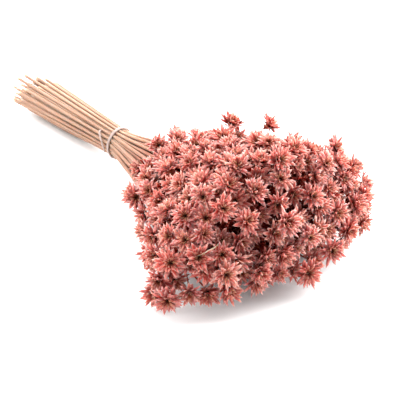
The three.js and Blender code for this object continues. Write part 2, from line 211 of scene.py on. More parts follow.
# How far blooms open or close, in degrees at the outer bracts' tips, what share of it their start
# has, and what share each row further in loses
BLOOM_OPENING = 14
OPENING_AT_START = 0.4
OPENING_LOSS = 0.1

# The cup under the bracts, as radius and height from its foot to its rim, and the heart inside it
CUP_PROFILE = [(0.6, -5.8), (0.9, -4.6), (1.9, -2.6), (2.2, -0.8), (1.9, 0.5), (1.1, 0.1)]
CUP_SIDES = 10
HEART_FLOOR = -0.5
CUP_SHADE = {"heart": 0.3, "per_mm": 0.1}

# Bristles in the heart: how many, how they stray, lean in degrees, bend and narrow
BRISTLES = 11
BRISTLE_STRAY = 0.4
BRISTLE_LEAN = (10, 66)
BRISTLE_LENGTH = (3.4, 5.8)
BRISTLE_START = (0.3, 1.2)
BRISTLE_KNEE = 0.55
BRISTLE_BEND = 0.25
BRISTLE_RADIUS = 0.26
BRISTLE_THINNING = 0.8
BRISTLE_CORNERS = (0, 2.1, 4.2)
BRISTLE_LOOK = [0.1, 0.1, 0.1, 0.7, 0.7, 0.7, 1]

# The string: turns, and millimetres that it moves along the stems and away from them. On its third
# time round it sinks in among the stems between two places, given in turns.
STRING = {"from": 0.666, "tight": 1.9, "loose": 0.77, "end": 0.21, "pitch": 1.5, "slant": 3,
          "back": 17, "forward": 14.5, "lift": 2, "radius": 13.45, "widening": (0.19, 0.09)}
STRING_DIVE = {"turn": 3, "from": 0.03, "to": 0.4, "soft": 0.05, "depth": 5}
STRING_RADIUS = 0.78
STRING_SIDES = 10
STRING_POINTS = 420
STRING_PLIES = {"twist": 0.22, "groove": 0.8, "swell": 0.22}
STRING_GRAIN = 2.6

# Colours of the bracts from base to tip, in three tints of the dye. The dark red at the base is
# partly the dye and partly painted shade for the gaps between bracts and blooms
ALONG_BRACT = (0.0, 0.3, 0.65, 1.0)
CORAL = [(0.28, 0.014, 0.007), (0.45, 0.062, 0.047), (0.52, 0.142, 0.122), (0.55, 0.265, 0.232)]
LILAC = [(0.28, 0.017, 0.012), (0.42, 0.072, 0.066), (0.49, 0.165, 0.162), (0.52, 0.29, 0.29)]
FADED = [(0.30, 0.022, 0.010), (0.44, 0.100, 0.068), (0.51, 0.21, 0.165), (0.53, 0.32, 0.28)]

# Camera, from the outline of the bunch in the photograph: the anchor shows at the anchor pixel
CAMERA_ELEVATION = 30.8
CAMERA_AZIMUTH = 51.7
CAMERA_FIELD = 22
CAMERA_DISTANCE = 903
CAMERA_SENSOR = 36
FRAME_PIXELS = 400
ANCHOR = (0, 0, 17)
ANCHOR_PIXEL = (111.5, 139.5)

# The world's light, and half the side of the floor in metres
WORLD_STRENGTH = 0.62
FLOOR_REACH = 6.0

# Material slots of a spray
PETALS, HEARTS, STEMS = 0, 1, 2


def lerp(a, b, t):
    return a + (b - a) * t


def draw(a, b):
    """The same number from 0 to 1 as in the solids for a pair of whole numbers."""
    def times(x, y):
        return (x * y) & 0xFFFFFFFF
    h = times(a + 1, 0x9E3779B1) ^ times(b + 1, 0x85EBCA6B)
    h = times(h ^ (h >> 15), 0x2C1B3C6D)
    h = times(h ^ (h >> 12), 0x297A2D39)
    return (h ^ (h >> 15)) / 2**32


def unit(v):
    return v / np.linalg.norm(v)


# The bundle of stems: the same rules as in the solids

def head_section(x):
    """Half the head's width and height at x, its centre's Y and Z, and how far its sides droop."""
    along = min(x, HEAD_RIM)
    width = math.hypot(WAIST, HEAD_SPREAD_Y * along) + HEAD_FLARE_Y * along * along
    height = math.hypot(WAIST, HEAD_SPREAD_Z * along)
    return width, height, HEAD_LEAN_Y * x, height + TIE_CLEARANCE, 1 - WAIST / height


def stem_section(x):
    """The same for the part of the bunch that the stems fill."""
    if x > 0:
        width, height, y, z, droop = head_section(x)
        return lerp(WAIST, width, STEM_SHARE), lerp(WAIST, height, STEM_SHARE), y, z, droop
    height = WAIST - HANDLE_SPREAD_Z * x
    return WAIST - HANDLE_SPREAD_Y * x, height, 0, height + TIE_CLEARANCE + HANDLE_SLOPE * x, 0


def stem_places():
    """Each stem's place at the tie: its share of the bundle's radius and its angle."""
    rings = len(STEM_RINGS) - 1
    return [
        (ring / rings, 2 * math.pi * k / count)
        for ring, count in enumerate(STEM_RINGS)
        for k in range(count)
    ]


PLACES = stem_places()


def stem_point(index, x, station):
    share, angle = PLACES[index]
    width, height, y, z, droop = stem_section(x)
    turn = angle + TWIST_PER_MM * x
    across = share * math.cos(turn)
    sink = droop * (1 - math.sqrt(max(0, 1 - across * across)))
    wander = HANDLE_WANDER if x < 0 else STEM_WANDER
    y += width * across + (draw(index, 2 * station) - 0.5) * wander * (width / WAIST - 1)
    z += height * (share * math.sin(turn) - sink)
    z += (draw(index, 2 * station + 1) - 0.5) * wander * (height / WAIST - 1)
    return np.array([x, y, z])


def stem_route(index, last_x):
    """A stem's points from its cut end to last_x."""
    share, angle = PLACES[index]
    longer = lerp(draw(index, CUT_KEY), 0.5 - 0.5 * math.cos(angle), NEAR_SIDE_LONGER)
    cut_x = -(HANDLE_SHORTEST + HANDLE_UNEVEN * longer)
    xs = [cut_x, TIE_X, *[x for x in STATIONS if x < last_x - LAST_STATION_GAP], last_x]
    points = [stem_point(index, x, station) for station, x in enumerate(xs)]
    if share * math.sin(angle) < LOWEST_STEMS:
        heel = stem_point(index, HEEL_X, 0)
        heel[2] = points[0][2] = STEM_RADIUS_CUT * math.sqrt(0.5)
        points.insert(1, heel)
    return points


# Blooms, read from the solids

def welded(node):
    """A node's corner points in millimetres, and each point's neighbours."""
    mesh = node.data
    points = np.zeros(len(mesh.vertices) * 3)
    mesh.vertices.foreach_get("co", points)
    points, which = np.unique(np.round(points.reshape(-1, 3) / MM, 3), axis=0, return_inverse=True)
    which = which.reshape(-1)
    neighbours = [set() for _ in points]
    for edge in mesh.edges:
        a, b = (int(which[v]) for v in edge.vertices)
        if a != b:
            neighbours[a].add(b)
            neighbours[b].add(a)
    return points, neighbours


def blooms(node):
    """Each bloom's heart, axis, size and first inner ray, and how many points its base has."""
    points, neighbours = welded(node)
    low, tip = math.hypot(*INNER_LOW), math.hypot(*INNER_TIP)
    found = []
    for k, around in enumerate(neighbours):
        if len(around) != 2 * INNER_RAYS:
            continue
        near = sorted(around, key=lambda n: np.linalg.norm(points[n] - points[k]))
        reach = np.array([np.linalg.norm(points[n] - points[k]) for n in near])
        size = reach[:INNER_RAYS].mean() / low
        expected = np.repeat([low, tip], INNER_RAYS) * size
        if not SIZE_LIMITS[0] < size < SIZE_LIMITS[1] or np.abs(reach - expected).max() > RAY_MISMATCH:
            continue
        heart = points[k]
        tips = points[near[INNER_RAYS:]]
        axis = unit(tips.mean(axis=0) - heart)
        base = heart - axis * HEART_TO_BASE * size
        sides = int((np.linalg.norm(points - base, axis=1) < STALK_REACH).sum())
        found.append({"heart": heart, "axis": axis, "size": size, "ray": tips[0] - heart, "sides": sides})
    return found


def origin_shift():
    """Where the solids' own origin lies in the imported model, from the first stem's cut end."""
    points, _ = welded(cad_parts["spray_00"])
    corners = points[np.argsort(points[:, 0])[:CUT_CORNERS]]
    return corners.mean(axis=0) - stem_route(0, HEAD_RIM)[0]


SHIFT = origin_shift()


def stalk_base(bloom):
    """Where a bloom meets its stem, branch or twig."""
    return bloom["heart"] - bloom["axis"] * HEART_TO_BASE * bloom["size"]


# Curves, tubes and pieces

def smooth_path(points, step):
    """A smooth curve through the points, with a point about every step."""
    points = np.array(points)
    lengths = np.linalg.norm(np.diff(points, axis=0), axis=1)
    slopes = np.diff(points, axis=0) / lengths[:, None]
    before, after = lengths[:-1, None], lengths[1:, None]
    inner = (slopes[:-1] * after + slopes[1:] * before) / (before + after)
    tangents = np.vstack([slopes[:1], inner, slopes[-1:]])
    out = []
    for k, length in enumerate(lengths):
        t = np.arange(0, 1, 1 / max(2, round(length / step)))[:, None]
        a, b = points[k], points[k + 1]
        ta, tb = tangents[k] * length, tangents[k + 1] * length
        out.append((2 * t**3 - 3 * t**2 + 1) * a + (t**3 - 2 * t**2 + t) * ta
                   + (3 * t**2 - 2 * t**3) * b + (t**3 - t**2) * tb)
    return np.vstack([*out, points[-1:]])


def bezier(a, b, c, d, count):
    t = np.linspace(0, 1, count)[:, None]
    return (1 - t)**3 * a + 3 * (1 - t)**2 * t * b + 3 * (1 - t) * t**2 * c + t**3 * d


def placer(axis, toward, origin):
    """A function that takes points from a frame at origin, with Z along axis, into the bunch's own."""
    right = unit(toward - axis * toward.dot(axis))
    turned = np.stack([right, np.cross(axis, right), axis], axis=1)
    return lambda points: points @ turned.T + origin


class Shape:
    """Points and faces of one piece, with four look and four grain values at each point.

    look holds, on bracts, how far along the bract a point is, how much of the inner colour it has,
    its tint and how deep in the head it is, which the bracts' material turns into painted shade. On
    cups and bristles it holds how far along a point is, whether it is on a bristle, and the tint. On
    stems it holds how pink the stem is, how near its cut is, and the tint. grain is the place that
    the materials' fibres and veins are worked out from.
    """

    def __init__(self):
        self.points, self.faces, self.slots, self.look, self.grain = [], [], [], [], []
        self.count = 0

    def add(self, points, faces, slot, look, grain=None):
        points = np.asarray(points).reshape(-1, 3)
        self.points.append(points)
        self.look.append(np.broadcast_to(look, (len(points), 4)))
        self.grain.append(np.zeros((len(points), 4)) if grain is None else grain)
        self.faces.extend([tuple(i + self.count for i in face) for face in faces])
        self.slots.extend([slot] * len(faces))
        self.count += len(points)

    def make_piece(self, name, materials, *nodes, slot_name):
        mesh = bpy.data.meshes.new(name)
        points = np.vstack(self.points) + SHIFT
        low = points[:, 2] < FLOOR_SOFTENING
        soft = FLOOR_SOFTENING - FLOOR_GAP
        points[low, 2] = FLOOR_GAP + soft * np.exp((points[low, 2] - FLOOR_SOFTENING) / soft)
        mesh.from_pydata((points * MM).tolist(), [], self.faces)
        for key, values in (("look", self.look), ("grain", self.grain)):
            layer = mesh.attributes.new(key, "FLOAT_COLOR", "POINT")
            layer.data.foreach_set("color", np.vstack(values).astype(np.float32).ravel())
        for material in materials:
            mesh.materials.append(material)
        mesh.polygons.foreach_set("material_index", np.array(self.slots, np.int32))
        mesh.polygons.foreach_set("use_smooth", np.ones(len(self.faces), bool))
        mesh.update()
        piece = bpy.data.objects.new(name, mesh)
        bpy.context.scene.collection.objects.link(piece)
        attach(piece, "root")
        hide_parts(*nodes)


def tube_faces(rings, sides):
    faces = []
    for ring in range(rings - 1):
        for k in range(sides):
            a, b = ring * sides + k, ring * sides + (k + 1) % sides
            faces.append((a, b, b + sides, a + sides))
    return faces


def end_faces(rings, sides):
    last = (rings - 1) * sides
    return [tuple(range(sides - 1, -1, -1)), tuple(range(last, last + sides))]


def rings_along(path, sides):
    """The angles of a tube's corners, and unit vectors to them at each point of its path.

    The rings are turned as little as possible along the path.
    """
    tangents = np.gradient(path, axis=0)
    tangents /= np.linalg.norm(tangents, axis=1, keepdims=True)
    side = np.array([0.0, -1.0, 0.0])
    across = []
    for tangent in tangents:
        side = unit(side - tangent * side.dot(tangent))
        across.append(side)
    across = np.array(across)
    up = np.cross(tangents, across)
    turn = 2 * math.pi * np.arange(sides) / sides
    return turn, np.cos(turn)[None, :, None] * across[:, None] + np.sin(turn)[None, :, None] * up[:, None]


def add_tube(shape, path, radii, sides, look, tint):
    """A round stem. look holds each ring's two shading values, and tint the piece's random number."""
    turn, around = rings_along(path, sides)
    ridges = 1 + RIDGES["depth"] * np.cos(RIDGES["count"] * turn + RIDGES["shift"] * tint)[None, :, None]
    points = path[:, None] + around * ridges * np.asarray(radii)[:, None, None]
    length = np.concatenate([[0], np.cumsum(np.linalg.norm(np.diff(path, axis=0), axis=1))])
    shading = np.ones((len(path), sides, 4))
    shading[..., 0], shading[..., 1] = look[0][:, None], look[1][:, None]
    shading[..., 2] = tint
    grain = np.ones((len(path), sides, 4))
    grain[..., 0] = length[:, None] / GRAIN_LENGTH
    grain[..., 1], grain[..., 2] = np.cos(turn)[None], np.sin(turn)[None]
    faces = tube_faces(len(path), sides) + end_faces(len(path), sides)
    shape.add(points, faces, STEMS, shading.reshape(-1, 4), grain.reshape(-1, 4))


# Blooms

def bract_faces():
    """Faces of one bract: four points at each station but the last, which is its tip."""
    stations = len(BRACT_STATIONS) - 1
    faces = tube_faces(stations, 4)
    tip = 4 * stations
    faces += [(tip - 4 + k, tip - 4 + (k + 1) % 4, tip) for k in range(4)]
    faces.append((3, 2, 1, 0))
    return faces


BRACT_FACES = bract_faces()


def bent_bracts(row, ragged):
    """The corners of a row's bracts, each of which rises along X and Z of its own frame."""
    count, t = row["count"], BRACT_STATIONS
    jitter = rng.uniform(-1, 1, (count, 6)) * ragged
    length = row["length"] * (1 + UNEVEN["length"] * jitter[:, 0])
    width = row["width"] * (1 + UNEVEN["width"] * jitter[:, 1])
    start = np.radians(row["rise"][0] + UNEVEN["start"] * jitter[:, 2])
    end = np.radians(row["rise"][1] + UNEVEN["end"] * jitter[:, 3])
    rise = start[:, None] + (end - start)[:, None] * t
    steps = np.diff(t, prepend=0) * length[:, None]
    r = row["start"][0] + np.cumsum(np.cos(rise) * steps, axis=1)
    z = row["start"][1] + np.cumsum(np.sin(rise) * steps, axis=1)
    half = 0.5 * width[:, None] * BRACT_WIDTHS
    ruffle = RUFFLE * rng.uniform(-1, 1, (2, count, len(t))) * ragged
    # Ruffles fade towards the base and the tip
    fade = np.minimum(1, 4 * t * (1.02 - t))
    left, right = half * BRACT_CUP + ruffle * fade
    normal = np.stack([-np.sin(rise), np.zeros_like(rise), np.cos(rise)], axis=-1)
    centre = np.stack([r, UNEVEN["bend"] * jitter[:, 4, None] * t**2, z], axis=-1)
    twist = UNEVEN["twist"] * jitter[:, 5, None] * t
    lean = np.sin(twist)
    across = np.stack([lean * normal[..., 0], np.cos(twist), lean * normal[..., 2]], axis=-1)
    thick = 0.5 * BRACT_THICKNESS[None, :, None]
    corners = np.zeros((count, len(t), 4, 3))
    corners[:, :, 0] = centre + normal * left[..., None] - across * half[..., None]
    corners[:, :, 1] = centre - normal * thick
    corners[:, :, 2] = centre + normal * right[..., None] + across * half[..., None]
    corners[:, :, 3] = centre + normal * thick
    return corners


def add_bracts(shape, row, size, place, tint, first=None, ragged=1.0, deep=0.0):
    """A row of bracts. place turns them from the bloom's frame into the bunch's. deep is how much painted
    shade darkens them.
    """
    count, stations = row["count"], len(BRACT_STATIONS)
    first = rng.uniform(*ANY_TURN) if first is None else first
    corners = bent_bracts(row, ragged)
    turn = first + 2 * math.pi * (np.arange(count) + UNEVEN["place"] * rng.uniform(-1, 1, count)) / count
    cos, sin = np.cos(turn)[:, None, None], np.sin(turn)[:, None, None]
    x, y, z = corners[..., 0], corners[..., 1], corners[..., 2]
    points = np.stack([x * cos - y * sin, x * sin + y * cos, z], axis=-1) * size
    look = np.zeros((count, stations, 4, 4))
    look[..., 0] = BRACT_STATIONS[None, :, None]
    look[..., 1] = row["shade"]
    look[..., 2] = np.clip(tint + UNEVEN["tint"] * rng.uniform(-1, 1, count), 0, 1)[:, None, None]
    # The fourth value is how much painted shade the bracts' material puts on them
    look[..., 3] = deep
    grain = np.ones((count, stations, 4, 4))
    grain[..., 0] = BRACT_STATIONS[None, :, None]
    grain[..., 1] = BRACT_ACROSS
    grain[..., 2] = rng.uniform(0, 1, count)[:, None, None]
    kept = np.arange(4 * (stations - 1) + 1)

    def flat(values, width):
        """The values at each bract's kept corners: the tip's four are one point."""
        return values.reshape(count, -1, width)[:, kept]

    faces = [tuple(i + k * len(kept) for i in face) for k in range(count) for face in BRACT_FACES]
    look, grain = flat(look, 4), flat(grain, 4)
    shape.add(place(flat(points, 3)), faces, PETALS, look.reshape(-1, 4), grain.reshape(-1, 4))


def add_cup(shape, size, place, tint):
    """The cup under the bracts and the open heart inside them."""
    turn = 2 * math.pi * np.arange(CUP_SIDES) / CUP_SIDES
    rings = np.array([[(r * math.cos(a), r * math.sin(a), z) for a in turn] for r, z in CUP_PROFILE])
    points = np.vstack([rings.reshape(-1, 3), [[0, 0, HEART_FLOOR]]]) * size
    foot, _ = end_faces(len(CUP_PROFILE), CUP_SIDES)
    last = (len(CUP_PROFILE) - 1) * CUP_SIDES
    faces = tube_faces(len(CUP_PROFILE), CUP_SIDES)
    faces += [(last + k, last + (k + 1) % CUP_SIDES, last + CUP_SIDES) for k in range(CUP_SIDES)]
    faces.append(foot)
    look = np.zeros((len(points), 4))
    look[:, 0] = np.clip(CUP_SHADE["heart"] - CUP_SHADE["per_mm"] * points[:, 2] / size, 0, 1)
    look[:, 2] = tint
    shape.add(place(points), faces, HEARTS, look)


def add_bristles(shape, size, place, tint):
    """Stiff bristles that stand in the heart and lean outward."""
    stray = rng.uniform(-BRISTLE_STRAY, BRISTLE_STRAY, BRISTLES)
    for angle in 2 * math.pi * (np.arange(BRISTLES) + stray) / BRISTLES:
        lean = math.radians(rng.uniform(*BRISTLE_LEAN))
        reach = rng.uniform(*BRISTLE_LENGTH)
        out = np.array([math.cos(angle), math.sin(angle), 0])
        start = out * rng.uniform(*BRISTLE_START)
        aim = out * math.sin(lean) + np.array([0, 0, math.cos(lean)])
        knee = start + aim * reach * BRISTLE_KNEE
        path = np.array([start, knee, start + (aim + BRISTLE_BEND * out) * reach]) * size
        side = unit(np.cross(aim, out))
        other = np.cross(unit(aim), side)
        ring = [BRISTLE_RADIUS * size * (math.cos(a) * side + math.sin(a) * other) for a in BRISTLE_CORNERS]
        points = [path[0] + v for v in ring] + [path[1] + BRISTLE_THINNING * v for v in ring] + [path[2]]
        faces = [*tube_faces(2, 3), (3, 4, 6), (4, 5, 6), (5, 3, 6), (2, 1, 0)]
        look = np.zeros((len(points), 4))
        look[:, 0] = BRISTLE_LOOK
        look[:, 1] = 1
        look[:, 2] = tint
        shape.add(place(np.array(points)), faces, HEARTS, look)


def add_bloom(shape, bloom, rows=BRACT_ROWS, deep=0.0):
    """One bloom, opened more or less. deep is 1 for a bloom deep in the head, which has no bristles and
    whose bracts get painted shade.
    """
    size, place = bloom["size"], placer(bloom["axis"], bloom["ray"], bloom["heart"])
    tint = rng.uniform(0, 1)
    opening = -BLOOM_OPENING * rng.uniform(-1, 1)
    for k, row in enumerate(rows):
        more = opening * (1 - OPENING_LOSS * k)
        opened = {**row, "rise": (row["rise"][0] + OPENING_AT_START * more, row["rise"][1] + more)}
        add_bracts(shape, opened, size, place, tint, deep=deep)
    add_bracts(shape, CALYX, size, place, tint, ragged=CALYX_RAGGED, deep=deep)
    add_cup(shape, size, place, tint)
    if not deep:
        add_bristles(shape, size, place, tint)


# Stems and branches

def add_scale_leaf(shape, point, direction, outward, tint, length):
    """A small dry leaf that clasps a branch at its fork or under its bloom."""
    place = placer(unit(direction), outward, point)
    add_bracts(shape, {**SCALE_LEAF, "length": length}, 1, place, tint, first=0)


def stem_radii(path, stations, tint):
    x = path[:, 0]
    radii = np.interp(x, (HEEL_X, TIE_X, FAN_X, STEM_TAPER_LENGTH), stations)
    return radii * (1 + STEM_WAVES["depth"] * np.sin(x / STEM_WAVES["length"] + WAVE_SHIFT * tint))


def dyed(path, length):
    """How pink a stem is at each point, from 0 near the string to 1 in the head. The material's dark red
    there is partly painted shade.
    """
    return np.clip((path[:, 0] - DYE_FROM) / length, 0, 1)


def near_cut(path):
    return np.clip(1 - (path[:, 0] - path[0, 0]) / CUT_LENGTH, 0, 1)


def add_stem(shape, index, bloom, tint):
    """The spray's stem. Returns its smooth path."""
    base = stalk_base(bloom)
    route = stem_route(index, base[0] - NECK_LENGTH)
    route[-1] = lerp(route[-1], base - bloom["axis"] * NECK_LENGTH, NECK_BEND)
    tie = next(k for k, p in enumerate(route) if p[0] == TIE_X)
    back = unit(route[tie - 1] - route[tie])
    route.insert(tie, route[tie] + back * TIE_STRAIGHT)
    path = smooth_path([*route, base], STEM_STEP)
    radii = stem_radii(path, STEM_RADII, tint)
    radii[-STALK_POINTS:] = lerp(radii[-STALK_POINTS:], STALK_RADIUS, STALK_BLEND)
    lowest = radii - SHIFT[2] + FLOOR_GAP
    path[:, 2] = np.maximum(path[:, 2], lowest)
    pink = dyed(path, DYE_LENGTH)
    stalk = np.linspace(*STALK_DYE)
    pink[-len(stalk):] = np.maximum(pink[-len(stalk):], stalk)
    add_tube(shape, path, radii, STEM_SIDES, (pink, near_cut(path)), tint)
    return path


def add_branch(shape, stem, bloom, tint):
    """A branch from the stem to a bloom, with its scale leaves. Returns its path."""
    share = lerp(*FORK_SHARES, (bloom["size"] - FLOWER_SIZES[0]) / (FLOWER_SIZES[1] - FLOWER_SIZES[0]))
    fork_x = max(FORK_FIRST, share * bloom["heart"][0])
    base = stalk_base(bloom)
    k = int(np.searchsorted(stem[:, 0], fork_x))
    fork = lerp(stem[k - 1], stem[k], (fork_x - stem[k - 1][0]) / (stem[k][0] - stem[k - 1][0]))
    direction = unit(stem[k] - stem[k - 1])
    length = np.linalg.norm(base - fork)
    leave = unit(lerp(direction, unit(base - fork), BRANCH_BEND["aim"]))
    first = fork + leave * BRANCH_BEND["leave"] * length
    second = base - bloom["axis"] * BRANCH_BEND["arrive"] * length
    path = bezier(fork, first, second, base, max(BRANCH_POINTS, round(length / BRANCH_STEP)))
    along = np.linspace(0, 1, len(path))
    waves = 1 + BRANCH_WAVES["depth"] * np.sin(BRANCH_WAVES["count"] * along + WAVE_SHIFT * tint)
    radii = BRANCH_RADIUS * (BRANCH_TAPER["start"] - BRANCH_TAPER["loss"] * along) * waves
    pink = (dyed(path, DYE_LENGTH) + along) / 2
    add_tube(shape, path, radii, BRANCH_SIDES, (pink, np.zeros(len(path))), tint)
    outward = leave - direction + rng.uniform(-SCALE_LEAF_STRAY, SCALE_LEAF_STRAY, 3)
    add_scale_leaf(shape, fork + leave * SCALE_LEAF_OUT, leave, outward, tint, SCALE_LEAF_LENGTHS["fork"])
    for place in SCALE_LEAF_PLACES:
        at = int(place * (len(path) - 1))
        tangent = path[at + 1] - path[at]
        add_scale_leaf(shape, path[at], tangent, rng.uniform(-1, 1, 3), tint, SCALE_LEAF_LENGTHS["branch"])
    return path


def add_twig(shape, start, direction, bloom, tint):
    """A thin twig from a stem or branch to a deep bloom."""
    base = stalk_base(bloom)
    length = np.linalg.norm(base - start)
    first = start + unit(direction) * BRANCH_BEND["leave"] * length
    path = bezier(start, first, base - bloom["axis"] * BRANCH_BEND["arrive"] * length, base, TWIG_POINTS)
    pink = np.ones(len(path))
    add_tube(shape, path, TWIG_RADIUS * pink, TWIG_SIDES, (pink, np.zeros(len(path))), tint)


def add_bare_twig(shape):
    path = smooth_path(BARE_TWIG, BARE_TWIG_STEP)
    along = np.linspace(0, 1, len(path))
    radii = TWIG_RADIUS * (BARE_TWIG_TAPER["start"] - BARE_TWIG_TAPER["loss"] * along)
    add_tube(shape, path, radii, BRANCH_SIDES, (np.zeros(len(path)), np.ones(len(path))), 0.5)


def inside_head(point):
    """Whether a bloom there stays well inside the head."""
    width, height, y, z, _ = head_section(point[0])
    return math.hypot((point[1] - y) / width, (point[2] - z) / height) < DEEP_SHARE


def place_deep_bloom(path, hearts):
    """Where a smaller bloom beside a stem or branch has the most room, or None.

    The place is its heart, its axis, and the point and direction that its twig starts from.
    """
    back = np.cumsum(np.linalg.norm(np.diff(path[::-1], axis=0), axis=1))
    low, high = DEEP_BETWEEN[0], min(DEEP_BETWEEN[1], path[-1][0])
    most_room, best = DEEP_APART, None
    for _ in range(DEEP_TRIES):
        at = len(path) - 2 - int(np.searchsorted(back, rng.uniform(*DEEP_START)))
        if at < 1:
            continue
        tangent = unit(path[at + 1] - path[at])
        aside = rng.normal(size=3)
        aside = unit(aside - tangent * aside.dot(tangent))
        axis = unit(tangent + DEEP_LEAN * aside + DEEP_STRAY * rng.normal(size=3))
        heart = (path[at] + tangent * rng.uniform(*DEEP_LENGTH) + aside * rng.uniform(*DEEP_ASIDE)
                 + axis * HEART_TO_BASE)
        room = np.linalg.norm(hearts - heart, axis=1).min()
        fits = heart[2] > DEEP_LOWEST and low < heart[0] < high and inside_head(heart)
        if fits and room > most_room:
            most_room, best = room, (heart, axis, path[at], tangent)
    return best


def add_deep_bloom(shape, heart, axis, start, direction, tint):
    bloom = {"heart": heart, "axis": axis, "size": rng.uniform(*DEEP_SIZES), "ray": rng.normal(size=3)}
    add_twig(shape, start, direction, bloom, tint)
    # 1.0: a deep bloom, with no bristles and with painted shade on its bracts
    add_bloom(shape, bloom, DEEP_ROWS, 1.0)


def extra_places():
    """Where the extra stems lie among the rings, each with the spray whose piece it joins."""
    places = []
    for ring, count in EXTRA_STEMS.items():
        outer = math.ceil(ring)
        for k in range(count):
            angle = 2 * math.pi * (k + 0.5 + rng.uniform(-EXTRA_ANGLE, EXTRA_ANGLE)) / count
            owner = sum(STEM_RINGS[:outer]) + k * STEM_RINGS[outer] // count
            places.append((ring / (len(STEM_RINGS) - 1), angle, owner))
    return places


def extra_path(share, angle):
    """The smooth path of an extra stem, from its cut end into the head."""
    longer = lerp(rng.uniform(0, 1), 0.5 - 0.5 * math.cos(angle), NEAR_SIDE_LONGER)
    cut_x = -(HANDLE_SHORTEST + (HANDLE_UNEVEN - EXTRA_SHORTER) * longer)
    points = []
    for x in [cut_x, *EXTRA_STATIONS, rng.uniform(*EXTRA_REACH)]:
        width, height, y, z, droop = stem_section(x)
        across = share * math.cos(angle + TWIST_PER_MM * x)
        sink = droop * (1 - math.sqrt(1 - across * across))
        wander = rng.uniform(-0.5, 0.5, 2) * (width / WAIST - 1) * EXTRA_WANDER
        up = share * math.sin(angle + TWIST_PER_MM * x)
        points.append([x, y + width * across + wander[0], z + height * (up - sink) + wander[1]])
    return smooth_path(points, EXTRA_STEP)


def add_extra_stem(shape, share, angle, hearts):
    """One more stem among the others. Returns the heart of its deep bloom, or None without room for it."""
    path = extra_path(share, angle)
    tint = rng.uniform(0, 1)
    look = (dyed(path, EXTRA_DYE_LENGTH), near_cut(path))
    add_tube(shape, path, stem_radii(path, EXTRA_RADII, tint), BRANCH_SIDES, look, tint)
    axis = unit(path[-1] - path[-3])
    heart = path[-1] + axis * (HEART_TO_BASE + EXTRA_STALK)
    if np.linalg.norm(hearts - heart, axis=1).min() <= DEEP_APART - EXTRA_CLOSER:
        return None
    add_deep_bloom(shape, heart, axis, path[-1], axis, tint)
    return heart


def read_blooms(index):
    """A spray's blooms in the bunch's own frame, its stem's bloom first."""
    found = blooms(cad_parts[f"spray_{index:02d}"])
    for bloom in found:
        bloom["heart"] = bloom["heart"] - SHIFT
    return sorted(found, key=lambda bloom: -bloom["sides"])


def add_spray(index, found, hearts, extras, materials):
    """One spray with its round stem, branches and blooms. hearts holds every bloom placed so far."""
    shape = Shape()
    tint = rng.uniform(0, 1)
    stem = add_stem(shape, index, found[0], tint)
    paths = [stem, *[add_branch(shape, stem, bloom, tint) for bloom in found[1:]]]
    for bloom, path in zip(found, paths):
        add_bloom(shape, bloom)
        for _ in range(DEEP_EACH):
            deep = place_deep_bloom(path, np.array(hearts))
            if deep is not None:
                hearts.append(deep[0])
                add_deep_bloom(shape, *deep, tint)
    for share, angle in extras:
        heart = add_extra_stem(shape, share, angle, np.array(hearts))
        if heart is not None:
            hearts.append(heart)
    if index == BARE_TWIG_SPRAY:
        add_bare_twig(shape)
    shape.make_piece(f"hill_spray_{index:02d}", materials, f"spray_{index:02d}", slot_name="dried_plant")


def add_sprays():
    materials = [petal_material(), heart_material(), stem_material()]
    sprays = [read_blooms(index) for index in range(len(PLACES))]
    hearts = [bloom["heart"] for found in sprays for bloom in found]
    extras = {}
    for share, angle, owner in extra_places():
        extras.setdefault(owner, []).append((share, angle))
    shown = len(hearts)
    for index, found in enumerate(sprays):
        add_spray(index, found, hearts, extras.get(index, []), materials)
    print("blooms", shown, "deep blooms", len(hearts) - shown)


# The string

def smooth_step(t):
    t = np.clip(t, 0, 1)
    return t * t * (3 - 2 * t)


def string_path():
    """Tight turns, most of a loose turn behind them and a short end."""
    s, dive = STRING, STRING_DIVE
    turn = np.linspace(0, s["tight"] + s["loose"] + s["end"], STRING_POINTS)
    tight = np.minimum(turn, s["tight"]) - s["tight"] / 2
    loose = smooth_step((turn - s["tight"]) / s["loose"])
    end = smooth_step((turn - s["tight"] - s["loose"]) / s["end"])
    angle = 2 * math.pi * (turn + s["from"])
    x = TIE_X - s["pitch"] * tight - s["slant"] * np.cos(angle) - s["back"] * loose + s["forward"] * end
    radius = s["radius"] + np.where(x > TIE_X, *s["widening"]) * np.abs(x - TIE_X) + s["lift"] * end**2
    around = turn + s["from"] - dive["turn"]
    sinking = smooth_step((around - dive["from"]) / dive["soft"])
    rising = smooth_step((dive["to"] - around) / dive["soft"])
    radius -= dive["depth"] * sinking * rising
    _, _, y, z, _ = stem_section(TIE_X)
    return np.stack([x, y + radius * np.cos(angle), z + radius * np.sin(angle)], axis=1)


def add_string():
    """Two plies twisted round each other."""
    path = string_path()
    turn, around = rings_along(path, STRING_SIDES)
    twist = np.arange(len(path))[:, None] * STRING_PLIES["twist"]
    plies = STRING_PLIES["groove"] + STRING_PLIES["swell"] * np.abs(np.cos(turn[None] - twist))
    points = path[:, None] + (STRING_RADIUS * plies)[..., None] * around
    faces = tube_faces(len(path), STRING_SIDES) + end_faces(len(path), STRING_SIDES)
    grain = np.zeros((len(path), STRING_SIDES, 4))
    grain[..., 0] = np.linspace(0, STRING_GRAIN, len(path))[:, None]
    grain[..., 1], grain[..., 2] = np.cos(turn - twist), np.sin(turn - twist)
    shape = Shape()
    shape.add(points, faces, 0, np.zeros(4), grain.reshape(-1, 4))
    shape.make_piece("string_tie", [string_material()], "tie", slot_name="string")


# Materials

